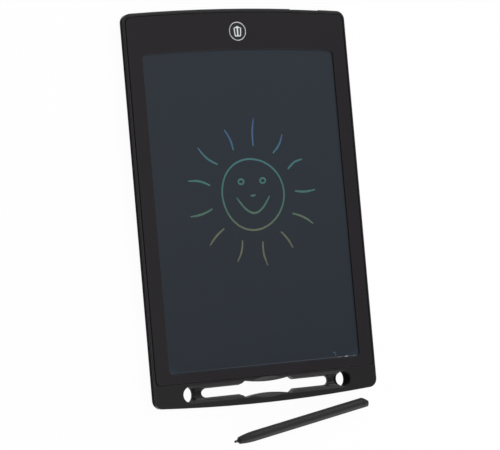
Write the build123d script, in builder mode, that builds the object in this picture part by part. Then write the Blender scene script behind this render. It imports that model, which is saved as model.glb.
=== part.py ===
from build123d import *
import math
import os

os.makedirs("parts", exist_ok=True)

# Outside of the tablet
body_width = 143.0
body_height = 225.0
body_thickness = 5.6
top_arch_rise = 2.4
bottom_arch_rise = 2.7
body_corner_radius = 5.0
back_edge_chamfer = 1.35
back_edge_softening = 0.4
front_edge_chamfer = 0.3

# Front panel set into the shell
side_rim_width = 1.3
top_rim_width = 2.0
strip_height = 15.15
panel_top_corner_radius = 4.0
panel_bottom_corner_radius = 3.0
panel_fit_gap = 0.06
panel_thickness = 1.2
groove_chamfer = 0.32

# Screen window
window_side_margin = 10.1
window_top_margin = 23.43
window_bottom_margin = 5.55
window_arch_rise = 1.9
window_corner_radius = 3.0
window_edge_chamfer = 0.16
lip_thickness = 0.45
lip_overlap = 3.1

# Shell inside
floor_thickness = 1.0
side_wall_thickness = 2.9
top_wall_thickness = 3.8
bottom_ledge_width = 1.6
cavity_corner_radius = 2.0
panel_tape_inset = 0.3
panel_tape_thickness = 0.15

# Film stack
film_overlap = 3.0
film_corner_cut = 3.3
film_tape_width = 2.0
film_tape_thickness = 0.15
writing_film_thickness = 0.2
crystal_thickness = 0.1
crystal_edge_inset = 1.2
base_film_thickness = 0.2
colour_film_thickness = 0.15
backing_side_overlap = 4.6
backing_end_overlap = 2.8
backing_thickness = 1.0

# Stylus channel along the bottom strip
channel_height = 8.83
cradle_radius = 3.2
cradle_centre_drop = 0.9
cradle_end_bury = 1.5
flare_half_width = 5.1
flare_depth = 0.75
slot_half_width = 2.6
slot_end_distance = 8.5
slot_end_radius = 2.5

# Finger holes at the ends of the channel
end_hole_past_stylus = 4.56
end_hole_front_radius = 4.45
end_hole_back_semi_x = 2.84
end_hole_back_semi_y = 4.25
end_hole_chamfer = 0.3

# Finger gap in the middle of the channel
gap_corner_x = 14.5
gap_corner_y = 4.8
gap_end_x = 17.5
gap_waist_y = 3.15
scoop_axis_height = 6.96
scoop_middle_radius = 9.12
scoop_half_length = 15.6

# Erase key
key_top_margin = 12.94
key_radius = 4.7
key_proud = 0.12
key_edge_chamfer = 0.18
key_flange_radius = 5.5
key_flange_thickness = 0.25
key_hole_radius = 4.85
ring_outer_radius = 5.6
ring_inner_radius = 4.8
ring_seat_depth = 0.7
ring_proud = 0.28
ring_fit_gap = 0.03
ring_edge_chamfer = 0.12

# Switch below the erase key
switch_size = 4.5
switch_corner_radius = 0.5
switch_height = 0.55
plunger_radius = 1.25
plunger_fit_gap = 0.05
plunger_bore_depth = 0.5
plunger_length = 0.49
switch_full_height = 0.95

# Circuit board
board_left_side_distance = 41.5
board_right_tray_distance = 11.0
board_depth = 12.8
board_top_gap = 1.4
board_thickness = 0.8
board_corner_radius = 1.0
boss_radius = 2.0
fixing_left_inset = 3.0
fixing_right_inset = 3.4
fixing_edge_inset = 2.4
board_hole_radius = 0.9

# Board screws
screw_shank_radius = 0.8
screw_shank_length = 1.8
screw_head_radius = 1.5
screw_head_height = 0.6
screw_head_chamfer = 0.2
screw_drive_length = 1.5
screw_drive_width = 0.4
screw_drive_depth = 0.3
pilot_radius = 0.82
pilot_depth = 1.2

# Parts on the board
chip_x = 11.5
chip_edge_distance = 6.1
chip_length = 4.9
chip_width = 3.9
chip_height = 0.95
chip_standoff = 0.1
chip_edge_chamfer = 0.15
chip_lead_count = 4
chip_lead_width = 0.42
chip_lead_pitch = 1.27
chip_lead_reach = 0.95
chip_lead_foot = 0.5
chip_lead_thickness = 0.2
chip_lead_rise = 0.35
coil_x = 19.0
coil_edge_distance = 8.7
coil_flange_radius = 1.9
coil_waist_radius = 1.45
coil_flange_thickness = 0.25
coil_height = 1.05
capacitor_length = 1.6
capacitor_width = 0.8
capacitor_height = 0.7
capacitor_row_x = 20.4
capacitor_row_pitch = 3.0
capacitor_row_count = 3
capacitor_row_edge_distance = 3.4
lone_capacitor_x = 24.4
lone_capacitor_edge_distance = 9.1
connector_x = -14.0
connector_edge_distance = 2.5
connector_length = 9.0
connector_depth = 2.6
connector_height = 1.0
connector_mouth_height = 0.24
connector_mouth_height_up = 0.42
connector_mouth_depth = 1.6
connector_mouth_length = 6.3
connector_latch_drop = 0.3
connector_latch_depth = 0.9

# Flexible tail between films and board
tail_width = 6.0
tail_thickness = 0.12
tail_overlap = 2.2
tail_bend_past_film = 0.5
tail_low_bend_past_film = 2.6
tail_end_past_board_edge = 2.4
tail_notch_width = 7.2
tail_notch_depth = 2.7
tail_relief_depth = 0.25
tail_relief_past_film = 1.5

# Erase lock on the back
lock_x = -17.0
lock_edge_distance = 6.9
lock_travel = 2.0
lock_knob_length = 4.0
lock_knob_width = 3.2
lock_knob_level = 0.12
lock_knob_corner_radius = 0.5
lock_groove_count = 3
lock_groove_width = 0.4
lock_groove_pitch = 0.95
lock_groove_depth = 0.18
lock_plate_length = 8.6
lock_plate_width = 6.0
lock_plate_thickness = 0.4
lock_slide_gap = 0.06
lock_recess_length = 10.5
lock_recess_width = 5.6
lock_recess_depth = 0.45
lock_recess_corner_radius = 1.2
lock_guide_width = 0.8
lock_guide_height = 0.45
lock_nib_length = 1.3
lock_nib_width = 0.8
lock_nib_height = 0.9
lock_nib_gap = 0.05
lock_switch_length = 6.6
lock_switch_width = 2.8
lock_switch_gap = 0.06
lock_switch_bore_depth = 0.6

# Battery tray in the top edge
tray_side_distance = 26.5
tray_plate_overhang = 0.2
tray_plate_end_gap = 0.12
tray_plate_back_gap = 0.06
tray_plate_set_back = 0.35
tray_plate_thickness = 0.9
tray_plate_low_level = 0.95
tray_plate_front_gap = 0.1
tray_plate_corner_radius = 0.25
tray_recess_gap = 0.1
tray_body_bury = 0.45
nail_notch_radius = 0.7
tray_side_wall = 0.5
tray_body_thickness = 1.4
tray_body_lift = 0.1
tray_inner_wall = 0.7
cell_top_margin = 11.6
cell_radius = 8.0
cell_height = 1.6
cell_board_drop = 0.2
cell_edge_chamfer = 0.2
cell_step_radius = 6.9
cell_step_height = 0.22
cell_pocket_gap = 0.1
tray_slot_gap = 0.1
rail_side_gap = 0.1
rail_width = 1.2
rail_ledge_width = 0.6
rail_ledge_gap = 0.05
rail_inner_gap = 0.5
rail_notch_width = 4.8
rail_notch_gap = 0.1

# Battery contacts
contact_thickness = 0.2
contact_width = 3.6
contact_foot_inset = 4.6
contact_bend_inset = 0.6
contact_arm_reach = 0.3
contact_end_before_cell = 3.0

# Stylus lying beside the bottom edge
stylus_tip_x = -23.44
stylus_tip_below_edge = 20.16
stylus_angle = 9.24
stylus_length = 89.6
stylus_radius = 3.0
nib_radius = 0.68
nib_round = 0.3
nib_end = 2.05
collar_front_radius = 0.95
collar_back_radius = 1.85
collar_end = 2.95
nib_shank_radius = 0.9
nib_shank_end = 8.0
barrel_front = 3.05
barrel_front_radius = 2.0
barrel_cone_end = 13.5
cap_length = 3.6
barrel_bore_gap = 0.03
cap_plug_radius = 2.0
cap_plug_length = 4.0
cap_shoulder_length = 2.4
cap_shoulder_radius = 2.4
cap_end_length = 0.9
cap_end_radius = 1.0
cap_joint_chamfer = 0.18

# One overrun serves every cut that leaves the material
cut_overrun = 12.0

# Places across and along the tablet that follow from the sizes
half_width = body_width / 2
tray_x = half_width - tray_side_distance
top_y = body_height / 2
bottom_y = -body_height / 2
panel_half_width = half_width - side_rim_width
panel_top_y = top_y - top_rim_width
panel_bottom_y = bottom_y + strip_height
window_half_width = half_width - window_side_margin
window_top_y = top_y - window_top_margin
window_bottom_y = panel_bottom_y + window_bottom_margin
cavity_half_width = half_width - side_wall_thickness
cavity_top_y = top_y - top_wall_thickness
cavity_bottom_y = panel_bottom_y + bottom_ledge_width
film_half_width = window_half_width + film_overlap
film_top_y = window_top_y + film_overlap
film_bottom_y = window_bottom_y - film_overlap
channel_y = bottom_y + channel_height
end_hole_x = stylus_length / 2 + end_hole_past_stylus
cradle_half_length = end_hole_x - cradle_end_bury
slot_half_length = end_hole_x - slot_end_distance
key_y = top_y - key_top_margin
board_left_x = board_left_side_distance - half_width
board_right_x = tray_x - board_right_tray_distance
board_high_y = cavity_top_y - board_top_gap
board_low_y = board_high_y - board_depth
screw_y = board_high_y - fixing_edge_inset
rest_y = board_low_y + fixing_edge_inset
fixing_xs = (board_left_x + fixing_left_inset, board_right_x - fixing_right_inset)
chip_y = board_low_y + chip_edge_distance
coil_y = board_low_y + coil_edge_distance
capacitor_row_y = board_low_y + capacitor_row_edge_distance
lone_capacitor_y = board_low_y + lone_capacitor_edge_distance
connector_y = board_low_y + connector_edge_distance
tail_notch_y = film_top_y - tail_notch_depth
tail_relief_end_y = film_top_y + tail_relief_past_film
lock_y = board_low_y + lock_edge_distance
lock_centre_x = lock_x + lock_travel / 2
cell_y = top_y - cell_top_margin
tray_body_length = 2 * (cell_radius + cell_pocket_gap + tray_side_wall)
tray_plate_length = tray_body_length + 2 * tray_plate_overhang
tray_body_inner_y = cell_y - cell_radius - cell_pocket_gap - tray_inner_wall
rail_inner_y = tray_body_inner_y + rail_inner_gap
stylus_tip_y = bottom_y - stylus_tip_below_edge
barrel_end = stylus_length - cap_length
cap_plug_start = barrel_end - cap_plug_length

# Levels above the back, counted down from the front face
panel_level = body_thickness - panel_thickness
lip_level = body_thickness - lip_thickness
ledge_level = panel_level - panel_tape_thickness
writing_film_level = lip_level - film_tape_thickness - writing_film_thickness
crystal_level = writing_film_level - crystal_thickness
base_film_level = crystal_level - base_film_thickness
colour_film_level = base_film_level - colour_film_thickness
backing_level = colour_film_level - backing_thickness
key_top_level = body_thickness + key_proud
ring_seat_level = body_thickness - ring_seat_depth
ring_top_level = body_thickness + ring_proud
plunger_top_level = panel_level - key_flange_thickness
plunger_foot_level = plunger_top_level - plunger_length
board_top_level = plunger_top_level - switch_full_height
board_level = board_top_level - board_thickness
boss_height = board_level - floor_thickness
connector_mouth_level = board_top_level + connector_mouth_height_up
tail_high_level = base_film_level - tail_thickness
lock_switch_level = floor_thickness + lock_plate_thickness + lock_switch_gap
cell_level = board_level - cell_board_drop
cell_top_level = cell_level + cell_height
tray_body_level = cell_level + tray_body_lift
rail_top_level = tray_body_level + tray_body_thickness
rail_ledge_level = tray_body_level - rail_ledge_gap
rail_notch_level = cell_level - contact_thickness - rail_notch_gap
tray_plate_high_level = body_thickness - tray_plate_front_gap
tray_recess_level = tray_plate_low_level - tray_recess_gap
cradle_centre_level = body_thickness - cradle_centre_drop
channel_floor_level = cradle_centre_level - cradle_radius
flare_level = body_thickness - flare_depth


# Outline with straight sides and bowed ends
def bowed_outline(half, high, high_rise, low, low_rise, high_radius, low_radius):
    with BuildSketch() as outline:
        with BuildLine():
            Line((-half, low + low_rise), (-half, high - high_rise))
            ThreePointArc((-half, high - high_rise), (0, high), (half, high - high_rise))
            Line((half, high - high_rise), (half, low + low_rise))
            if low_rise:
                ThreePointArc((half, low + low_rise), (0, low), (-half, low + low_rise))
            else:
                Line((half, low), (-half, low))
        make_face()
        fillet(outline.vertices().group_by(Axis.Y)[-1], radius=high_radius)
        fillet(outline.vertices().group_by(Axis.Y)[0], radius=low_radius)
    return outline.sketch


# The body outline moved in by a set amount
def body_outline(inset):
    return bowed_outline(half_width - inset, top_y - inset, top_arch_rise, bottom_y + inset,
                         bottom_arch_rise, body_corner_radius, body_corner_radius)


# The front panel outline moved in by a set amount
def panel_outline(inset):
    return bowed_outline(panel_half_width - inset, panel_top_y - inset, top_arch_rise,
                         panel_bottom_y + inset, 0, panel_top_corner_radius,
                         panel_bottom_corner_radius)


# The window outline moved out by a set amount
def window_outline(outset):
    return bowed_outline(window_half_width + outset, window_top_y + outset, window_arch_rise,
                         window_bottom_y - outset, 0, window_corner_radius, window_corner_radius)


# Outline of a hidden sheet: bowed at the top, with cut corners
def sheet_outline(half, high, low):
    with BuildSketch() as outline:
        with BuildLine():
            Line((-half, low), (-half, high - window_arch_rise))
            ThreePointArc((-half, high - window_arch_rise), (0, high), (half, high - window_arch_rise))
            Polyline((half, high - window_arch_rise), (half, low), (-half, low))
        make_face()
        chamfer(outline.vertices(), length=film_corner_cut)
    return outline.sketch


# The film outline moved in by a set amount
def film_outline(inset):
    return sheet_outline(film_half_width - inset, film_top_y - inset, film_bottom_y + inset)


# The outline of the space inside the shell
def cavity_outline():
    return bowed_outline(cavity_half_width, cavity_top_y, top_arch_rise, cavity_bottom_y, 0,
                         cavity_corner_radius, cavity_corner_radius)


# The outline of the backing plate and the pad below it
def backing_outline():
    return sheet_outline(window_half_width + backing_side_overlap,
                         window_top_y + backing_end_overlap,
                         window_bottom_y - backing_end_overlap)


# A strip bent along a path of its lower face
def bent_strip(path, thickness):
    upper = [(across, level + thickness) for across, level in reversed(path)]
    with BuildSketch() as outline:
        with BuildLine():
            Polyline(*path, *upper, close=True)
        make_face()
    return outline.sketch


# Height of the top edge at a place across the body
def top_edge_y(across):
    arch_radius = (half_width ** 2 + top_arch_rise ** 2) / (2 * top_arch_rise)
    return top_y - arch_radius + math.sqrt(arch_radius ** 2 - across ** 2)


screw_places = [(across, screw_y) for across in fixing_xs]
rest_places = [(across, rest_y) for across in fixing_xs]
recess_half_length = tray_plate_length / 2 + tray_plate_end_gap
recess_end_xs = [tray_x + side * recess_half_length for side in (-1, 1)]
rail_inner_offset = tray_body_length / 2 + rail_side_gap

# Rear shell
with BuildPart() as rear_shell:
    with BuildSketch():
        add(body_outline(0))
    extrude(amount=body_thickness)
    chamfer(rear_shell.faces().sort_by(Axis.Z)[0].edges(), length=back_edge_chamfer)
    back_edge_loops = rear_shell.edges().group_by(Axis.Z)[0:2]
    chamfer(back_edge_loops[0] + back_edge_loops[1], length=back_edge_softening)
    chamfer(rear_shell.faces().sort_by(Axis.Z)[-1].edges(), length=front_edge_chamfer)

    # Seat of the front panel and the groove round it
    with BuildSketch(Plane.XY.offset(ledge_level)):
        add(panel_outline(0))
    extrude(amount=cut_overrun, mode=Mode.SUBTRACT)
    front_face = rear_shell.faces().sort_by(Axis.Z)[-1]
    chamfer(front_face.inner_wires()[0].edges(), length=groove_chamfer)

    # Space for the screen and the board
    with BuildSketch(Plane.XY.offset(floor_thickness)):
        add(cavity_outline())
    extrude(amount=cut_overrun, mode=Mode.SUBTRACT)

    # Bosses below the board: two for the screws, two plain rests and one under the key
    with BuildSketch(Plane.XY.offset(floor_thickness)):
        with Locations(*screw_places, *rest_places, (0, key_y)):
            Circle(boss_radius)
    extrude(amount=boss_height)
    with BuildSketch(Plane.XY.offset(board_level)):
        with Locations(*screw_places):
            Circle(pilot_radius)
    extrude(amount=-pilot_depth, mode=Mode.SUBTRACT)

    # Rails that the battery tray runs in
    rail_length = cavity_top_y - rail_inner_y
    rail_y = (cavity_top_y + rail_inner_y) / 2
    for side in (-1, 1):
        with BuildSketch(Plane.XY.offset(floor_thickness)):
            with Locations((tray_x + side * (rail_inner_offset + rail_width / 2), rail_y)):
                Rectangle(rail_width, rail_length)
        extrude(amount=rail_top_level - floor_thickness)
        with BuildSketch(Plane.XY.offset(floor_thickness)):
            with Locations((tray_x + side * (rail_inner_offset - rail_ledge_width / 2), rail_y)):
                Rectangle(rail_ledge_width, rail_length)
        extrude(amount=rail_ledge_level - floor_thickness)
    with BuildSketch(Plane.XY.offset(rail_notch_level)):
        with Locations((tray_x - rail_inner_offset, cell_y)):
            Rectangle(rail_width * 2, rail_notch_width)
    extrude(amount=rail_top_level - rail_notch_level, mode=Mode.SUBTRACT)

    # Recess of the tray's end plate with a nail notch at each end, then the tray's way in
    with BuildSketch(Plane.XY.offset(tray_recess_level)):
        with Locations((tray_x, top_y)):
            Rectangle(2 * recess_half_length, cut_overrun)
        with Locations(*[(across, top_edge_y(across)) for across in recess_end_xs]):
            Circle(nail_notch_radius)
        add(body_outline(tray_plate_set_back + tray_plate_thickness + tray_plate_back_gap),
            mode=Mode.SUBTRACT)
    extrude(amount=cut_overrun, mode=Mode.SUBTRACT)
    with BuildSketch(Plane.XY.offset(cell_level - tray_slot_gap)):
        with Locations((tray_x, top_y)):
            Rectangle(tray_body_length + 2 * tray_slot_gap, cut_overrun)
    extrude(amount=cell_height + 2 * tray_slot_gap, mode=Mode.SUBTRACT)

    # Recess, slot and guides of the erase lock
    with BuildSketch():
        with Locations((lock_centre_x, lock_y)):
            RectangleRounded(lock_recess_length, lock_recess_width, lock_recess_corner_radius)
    extrude(amount=lock_recess_depth, mode=Mode.SUBTRACT)
    with BuildSketch():
        with Locations((lock_centre_x, lock_y)):
            RectangleRounded(lock_knob_length + lock_travel + 2 * lock_slide_gap,
                             lock_knob_width + 2 * lock_slide_gap, lock_knob_corner_radius)
    extrude(amount=floor_thickness, mode=Mode.SUBTRACT)
    with BuildSketch(Plane.XY.offset(floor_thickness)):
        for side in (-1, 1):
            guide_offset = lock_plate_width / 2 + lock_slide_gap + lock_guide_width / 2
            with Locations((lock_centre_x, lock_y + side * guide_offset)):
                Rectangle(lock_recess_length, lock_guide_width)
    extrude(amount=lock_guide_height)

    # Stylus channel: open slot, round cradle and flared mouth
    with BuildSketch():
        with Locations((0, channel_y)):
            RectangleRounded(2 * slot_half_length, 2 * slot_half_width, slot_end_radius)
    extrude(amount=cut_overrun, mode=Mode.SUBTRACT)
    with BuildSketch(Plane.YZ.offset(-cradle_half_length)):
        with Locations((channel_y, cradle_centre_level)):
            Circle(cradle_radius)
    extrude(amount=2 * cradle_half_length, mode=Mode.SUBTRACT)
    with BuildSketch(Plane.YZ.offset(-end_hole_x)):
        with BuildLine():
            Polyline((channel_y - cradle_radius, cradle_centre_level),
                     (channel_y - cradle_radius, flare_level),
                     (channel_y - flare_half_width, body_thickness),
                     (channel_y - flare_half_width, body_thickness + cut_overrun),
                     (channel_y + flare_half_width, body_thickness + cut_overrun),
                     (channel_y + flare_half_width, body_thickness),
                     (channel_y + cradle_radius, flare_level),
                     (channel_y + cradle_radius, cradle_centre_level), close=True)
        make_face()
    extrude(amount=2 * end_hole_x, mode=Mode.SUBTRACT)

    # Finger holes, round in front and narrow through the channel's floor
    for side in (-1, 1):
        with BuildSketch():
            with Locations((side * end_hole_x, channel_y)):
                Ellipse(end_hole_back_semi_x, end_hole_back_semi_y)
        extrude(amount=channel_floor_level, mode=Mode.SUBTRACT)
        with BuildSketch(Plane.XY.offset(channel_floor_level)):
            with Locations((side * end_hole_x, channel_y)):
                Ellipse(end_hole_back_semi_x, end_hole_back_semi_y)
        with BuildSketch(Plane.XY.offset(body_thickness - end_hole_chamfer)):
            with Locations((side * end_hole_x, channel_y)):
                Circle(end_hole_front_radius)
        loft(ruled=True, mode=Mode.SUBTRACT)
        with BuildSketch(Plane.XY.offset(body_thickness - end_hole_chamfer)):
            with Locations((side * end_hole_x, channel_y)):
                Circle(end_hole_front_radius)
        with BuildSketch(Plane.XY.offset(body_thickness)):
            with Locations((side * end_hole_x, channel_y)):
                Circle(end_hole_front_radius + end_hole_chamfer)
        loft(ruled=True, mode=Mode.SUBTRACT)

    # Finger gap with waisted edges, and the scoops in front of them
    with BuildSketch(Plane(origin=(0, channel_y, 0))):
        with BuildLine():
            Polyline((-gap_corner_x, -gap_corner_y), (-gap_end_x, -slot_half_width),
                     (-gap_end_x, slot_half_width), (-gap_corner_x, gap_corner_y))
            ThreePointArc((-gap_corner_x, gap_corner_y), (0, gap_waist_y),
                          (gap_corner_x, gap_corner_y))
            Polyline((gap_corner_x, gap_corner_y), (gap_end_x, slot_half_width),
                     (gap_end_x, -slot_half_width), (gap_corner_x, -gap_corner_y))
            ThreePointArc((gap_corner_x, -gap_corner_y), (0, -gap_waist_y),
                          (-gap_corner_x, -gap_corner_y))
        make_face()
    extrude(amount=cut_overrun, mode=Mode.SUBTRACT)
    with BuildSketch(Plane.XZ.offset(-channel_y)):
        scoop_axis_level = body_thickness + scoop_axis_height
        with BuildLine():
            Line((-scoop_half_length, scoop_axis_level), (scoop_half_length, scoop_axis_level))
            Line((scoop_half_length, scoop_axis_level), (scoop_half_length, body_thickness))
            ThreePointArc((scoop_half_length, body_thickness),
                          (0, scoop_axis_level - scoop_middle_radius),
                          (-scoop_half_length, body_thickness))
            Line((-scoop_half_length, body_thickness), (-scoop_half_length, scoop_axis_level))
        make_face()
    revolve(axis=Axis((0, channel_y, scoop_axis_level), (1, 0, 0)), mode=Mode.SUBTRACT)

# Front panel
with BuildPart() as front_bezel:
    with BuildSketch(Plane.XY.offset(panel_level)):
        add(panel_outline(panel_fit_gap))
    extrude(amount=body_thickness - panel_level)
    chamfer(front_bezel.faces().sort_by(Axis.Z)[-1].edges(), length=groove_chamfer)
    with BuildSketch(Plane.XY.offset(panel_level)):
        add(window_outline(0))
    extrude(amount=cut_overrun, mode=Mode.SUBTRACT)
    window_face = front_bezel.faces().sort_by(Axis.Z)[-1]
    chamfer(window_face.inner_wires()[0].edges(), length=window_edge_chamfer)
    with BuildSketch(Plane.XY.offset(panel_level)):
        add(window_outline(lip_overlap))
    extrude(amount=lip_level - panel_level, mode=Mode.SUBTRACT)

    # Key hole with the seat of the ring
    with BuildSketch(Plane.XY.offset(panel_level)):
        with Locations((0, key_y)):
            Circle(key_hole_radius)
    extrude(amount=cut_overrun, mode=Mode.SUBTRACT)
    with BuildSketch(Plane.XY.offset(ring_seat_level)):
        with Locations((0, key_y)):
            Circle(ring_outer_radius + ring_fit_gap)
    extrude(amount=cut_overrun, mode=Mode.SUBTRACT)

    # Relief for the flexible tail
    with BuildSketch(Plane.XY.offset(panel_level)):
        with Locations((connector_x, (tail_relief_end_y + tail_notch_y) / 2)):
            Rectangle(tail_notch_width, tail_relief_end_y - tail_notch_y)
    extrude(amount=tail_relief_depth, mode=Mode.SUBTRACT)

# Adhesive frame below the front panel
with BuildPart() as bezel_tape:
    with BuildSketch(Plane.XY.offset(ledge_level)):
        add(panel_outline(panel_tape_inset))
        add(cavity_outline(), mode=Mode.SUBTRACT)
    extrude(amount=panel_tape_thickness)

# Adhesive frame between the window lip and the films
with BuildPart() as film_tape:
    with BuildSketch(Plane.XY.offset(lip_level - film_tape_thickness)):
        add(film_outline(0))
        add(film_outline(film_tape_width), mode=Mode.SUBTRACT)
    extrude(amount=film_tape_thickness)

# Films from the front to the back
with BuildPart() as writing_film:
    with BuildSketch(Plane.XY.offset(writing_film_level)):
        add(film_outline(0))
    extrude(amount=writing_film_thickness)

with BuildPart() as liquid_crystal_layer:
    with BuildSketch(Plane.XY.offset(crystal_level)):
        add(film_outline(crystal_edge_inset))
    extrude(amount=crystal_thickness)

with BuildPart() as base_film:
    with BuildSketch(Plane.XY.offset(base_film_level)):
        add(film_outline(0))
    extrude(amount=base_film_thickness)

with BuildPart() as colour_film:
    with BuildSketch(Plane.XY.offset(colour_film_level)):
        add(film_outline(0))
        with Locations((connector_x, tail_notch_y + cut_overrun / 2)):
            Rectangle(tail_notch_width, cut_overrun, mode=Mode.SUBTRACT)
    extrude(amount=colour_film_thickness)

# Stiff plate behind the films and the pad that presses on it
with BuildPart() as backing_plate:
    with BuildSketch(Plane.XY.offset(backing_level)):
        add(backing_outline())
    extrude(amount=backing_thickness)

with BuildPart() as foam_pad:
    with BuildSketch(Plane.XY.offset(floor_thickness)):
        add(backing_outline())
    extrude(amount=backing_level - floor_thickness)

# Ring round the erase key
with BuildPart() as erase_ring:
    with BuildSketch(Plane.XY.offset(ring_seat_level)):
        with Locations((0, key_y)):
            Circle(ring_outer_radius)
            Circle(ring_inner_radius, mode=Mode.SUBTRACT)
    extrude(amount=ring_top_level - ring_seat_level)
    chamfer(erase_ring.faces().sort_by(Axis.Z)[-1].edges(), length=ring_edge_chamfer)

# Erase key with the flange that keeps it in the panel
with BuildPart() as erase_button:
    with BuildSketch(Plane.XY.offset(plunger_top_level)):
        with Locations((0, key_y)):
            Circle(key_radius)
    extrude(amount=key_top_level - plunger_top_level)
    chamfer(erase_button.faces().sort_by(Axis.Z)[-1].edges(), length=key_edge_chamfer)
    with BuildSketch(Plane.XY.offset(plunger_top_level)):
        with Locations((0, key_y)):
            Circle(key_flange_radius)
    extrude(amount=panel_level - plunger_top_level)

# Switch below the key
with BuildPart() as erase_switch_body:
    with BuildSketch(Plane.XY.offset(board_top_level)):
        with Locations((0, key_y)):
            RectangleRounded(switch_size, switch_size, switch_corner_radius)
    extrude(amount=switch_height)
    with BuildSketch(Plane.XY.offset(board_top_level + switch_height)):
        with Locations((0, key_y)):
            Circle(plunger_radius + plunger_fit_gap)
    extrude(amount=-plunger_bore_depth, mode=Mode.SUBTRACT)

with BuildPart() as erase_switch_plunger:
    with BuildSketch(Plane.XY.offset(plunger_foot_level)):
        with Locations((0, key_y)):
            Circle(plunger_radius)
    extrude(amount=plunger_top_level - plunger_foot_level)

# Circuit board
with BuildPart() as circuit_board:
    with BuildSketch(Plane.XY.offset(board_level)):
        with Locations(((board_left_x + board_right_x) / 2, (board_low_y + board_high_y) / 2)):
            RectangleRounded(board_right_x - board_left_x, board_high_y - board_low_y,
                             board_corner_radius)
        with Locations(*screw_places):
            Circle(board_hole_radius, mode=Mode.SUBTRACT)
    extrude(amount=board_thickness)

# Screws that hold the board
with BuildPart() as board_screws:
    for place in screw_places:
        with BuildSketch(Plane.XY.offset(board_top_level)):
            with Locations(place):
                Circle(screw_shank_radius)
        extrude(amount=-screw_shank_length)
        with BuildSketch(Plane.XY.offset(board_top_level)):
            with Locations(place):
                Circle(screw_head_radius)
        extrude(amount=screw_head_height)
    head_faces = board_screws.faces().group_by(Axis.Z)[-1]
    chamfer(head_faces.edges(), length=screw_head_chamfer)
    with BuildSketch(Plane.XY.offset(board_top_level + screw_head_height)):
        with Locations(*screw_places):
            Rectangle(screw_drive_length, screw_drive_width)
            Rectangle(screw_drive_width, screw_drive_length)
    extrude(amount=-screw_drive_depth, mode=Mode.SUBTRACT)

# Controller chip with four leads on each side
with BuildPart() as controller_chip:
    with BuildSketch(Plane.XY.offset(board_top_level + chip_standoff)):
        with Locations((chip_x, chip_y)):
            Rectangle(chip_length, chip_width)
    extrude(amount=chip_height - chip_standoff)
    chamfer(controller_chip.faces().sort_by(Axis.Z)[-1].edges(), length=chip_edge_chamfer)
    for side in (-1, 1):
        inner = side * chip_width / 2
        outer = side * (chip_width / 2 + chip_lead_reach)
        foot = side * (chip_width / 2 + chip_lead_reach - chip_lead_foot)
        path = [(outer, board_top_level), (foot, board_top_level),
                (inner, board_top_level + chip_lead_rise), (0, board_top_level + chip_lead_rise)]
        for number in range(chip_lead_count):
            lead_x = chip_x + (number - (chip_lead_count - 1) / 2) * chip_lead_pitch
            lead_plane = Plane(origin=(lead_x - chip_lead_width / 2, chip_y, 0),
                               x_dir=(0, 1, 0), z_dir=(1, 0, 0))
            with BuildSketch(lead_plane):
                add(bent_strip(path, chip_lead_thickness))
            extrude(amount=chip_lead_width)

# Coil of the voltage booster
with BuildPart() as boost_coil:
    with BuildSketch(Plane.XY.offset(board_top_level)):
        with Locations((coil_x, coil_y)):
            Circle(coil_waist_radius)
    extrude(amount=coil_height)
    for level in (board_top_level, board_top_level + coil_height - coil_flange_thickness):
        with BuildSketch(Plane.XY.offset(level)):
            with Locations((coil_x, coil_y)):
                Circle(coil_flange_radius)
        extrude(amount=coil_flange_thickness)

# Small capacitors
with BuildPart() as chip_capacitors:
    with BuildSketch(Plane.XY.offset(board_top_level)):
        with Locations((capacitor_row_x, capacitor_row_y)):
            with GridLocations(capacitor_row_pitch, 0, capacitor_row_count, 1):
                Rectangle(capacitor_length, capacitor_width)
        with Locations((lone_capacitor_x, lone_capacitor_y)):
            Rectangle(capacitor_width, capacitor_length)
    extrude(amount=capacitor_height)

# Connector of the flexible tail
with BuildPart() as film_connector:
    with BuildSketch(Plane.XY.offset(board_top_level)):
        with Locations((connector_x, connector_y)):
            Rectangle(connector_length, connector_depth)
    extrude(amount=connector_height)
    with BuildSketch(Plane.XY.offset(connector_mouth_level)):
        with Locations((connector_x, connector_y - connector_depth / 2)):
            Rectangle(connector_mouth_length, 2 * connector_mouth_depth)
    extrude(amount=connector_mouth_height, mode=Mode.SUBTRACT)
    with BuildSketch(Plane.XY.offset(board_top_level + connector_height)):
        with Locations((connector_x, connector_y + connector_depth / 2)):
            Rectangle(connector_length, 2 * connector_latch_depth)
    extrude(amount=-connector_latch_drop, mode=Mode.SUBTRACT)

# Flexible tail
with BuildPart() as film_tail:
    tail_plane = Plane(origin=(connector_x - tail_width / 2, 0, 0), x_dir=(0, 1, 0),
                       z_dir=(1, 0, 0))
    with BuildSketch(tail_plane):
        add(bent_strip([(film_top_y - tail_overlap, tail_high_level),
                        (film_top_y + tail_bend_past_film, tail_high_level),
                        (film_top_y + tail_low_bend_past_film, connector_mouth_level),
                        (board_low_y + tail_end_past_board_edge, connector_mouth_level)],
                       tail_thickness))
    extrude(amount=tail_width)

# Slider of the erase lock
with BuildPart() as lock_slider:
    with BuildSketch(Plane.XY.offset(floor_thickness)):
        with Locations((lock_x, lock_y)):
            Rectangle(lock_plate_length, lock_plate_width)
            Rectangle(lock_nib_length + 2 * lock_nib_gap, lock_nib_width + 2 * lock_nib_gap,
                      mode=Mode.SUBTRACT)
    extrude(amount=lock_plate_thickness)
    with BuildSketch(Plane.XY.offset(lock_knob_level)):
        with Locations((lock_x, lock_y)):
            RectangleRounded(lock_knob_length, lock_knob_width, lock_knob_corner_radius)
    extrude(amount=floor_thickness - lock_knob_level)
    with BuildSketch(Plane.XY.offset(lock_knob_level)):
        with Locations((lock_x, lock_y)):
            with GridLocations(lock_groove_pitch, 0, lock_groove_count, 1):
                Rectangle(lock_groove_width, 2 * lock_knob_width)
    extrude(amount=lock_groove_depth, mode=Mode.SUBTRACT)

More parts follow.
